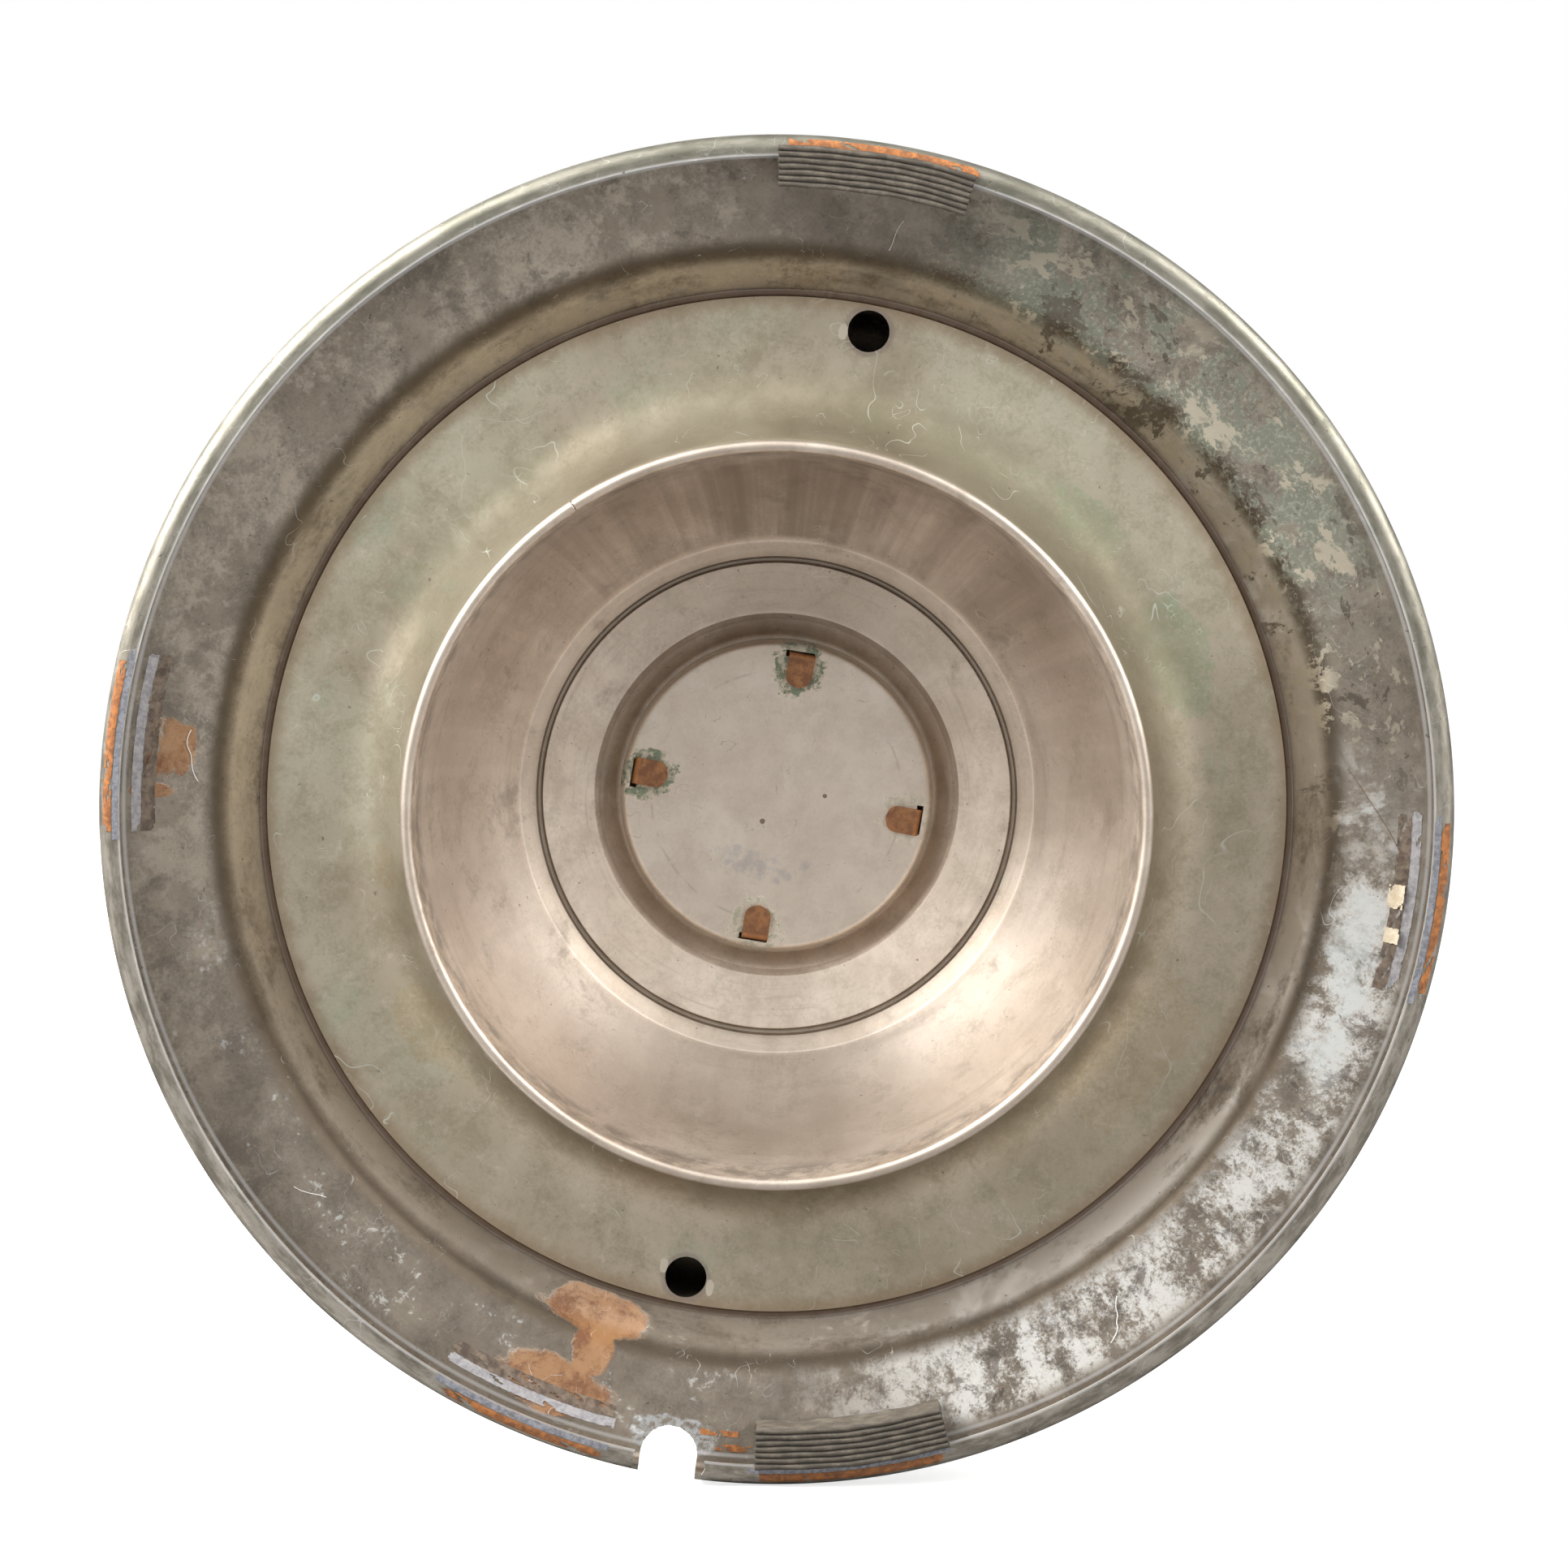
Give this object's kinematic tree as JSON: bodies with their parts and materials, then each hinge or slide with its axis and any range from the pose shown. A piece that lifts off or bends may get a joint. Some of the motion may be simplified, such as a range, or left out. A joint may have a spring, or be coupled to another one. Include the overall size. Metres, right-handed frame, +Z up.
{
  "type": "sculpting turntable",
  "caption": "Bench turntable for sculpting: stepped spun-metal base on rubber pads, a short column with a thrust ball bearing, and a round wheel head that turns freely.",
  "frame": {"origin": "centre of the base on the bench, level with the rubber pads' feet and the bottom of the rolled bead", "axes": "+Z up along the spindle, -Y towards the cable notch in the rim"},
  "size_m": [0.3, 0.2999, 0.1187],
  "materials": {
    "casing_metal": "nickel-plated spun sheet, tarnished, with white oxide and glue marks",
    "plate_metal": "nickel-plated spun sheet with a thin green patina",
    "hub_metal": "nickel-plated spun sheet, warm grey, satin",
    "cap_metal": "nickel-plated pressed sheet, satin",
    "copper": "bare copper sheet, tarnished",
    "pad_rubber": "ribbed rubber, dusty, brown-grey",
    "cast_iron": "cast iron, dark stove enamel",
    "ballast_iron": "rough cast iron",
    "steel": "turned steel, oiled",
    "bearing_steel": "ground bearing steel",
    "bronze": "turned bronze",
    "head_aluminium": "turned cast aluminium"
  },
  "bodies": {
    "base": {"outer_casing": "casing_metal", "base_plate": "plate_metal", "hub_shell": "hub_metal", "bead_wire": "steel", "centre_cap": "cap_metal", "clip_plate": "copper", "ballast_ring": "ballast_iron", "foot_pad_rear": "pad_rubber", "foot_pad_front": "pad_rubber", "column": "cast_iron", "column_screws": "steel", "column_washers": "steel", "column_nuts": "steel", "lower_bush": "bronze", "upper_bush": "bronze", "lower_race": "bearing_steel"},
    "ball_set": {"ball_cage": "bronze", "bearing_balls": "bearing_steel"},
    "head": {"upper_race": "bearing_steel", "head_hub": "cast_iron", "wheel_head": "head_aluminium", "head_screws": "steel", "spindle": "steel", "thrust_washer": "bronze", "retaining_clip": "steel"}
  },
  "joints": [
    {"name": "head_turn", "type": "hinge", "parent": "base", "child": "head", "pos_m": [0, 0, 0.1], "axis": [0, 0, 1], "continuous": true},
    {"name": "cage_turn", "type": "hinge", "parent": "base", "child": "ball_set", "pos_m": [0, 0, 0.1], "axis": [0, 0, 1], "continuous": true}
  ],
  "couplings": [
    {"joint": "cage_turn", "follows": "head_turn", "ratio": 0.5}
  ]
}
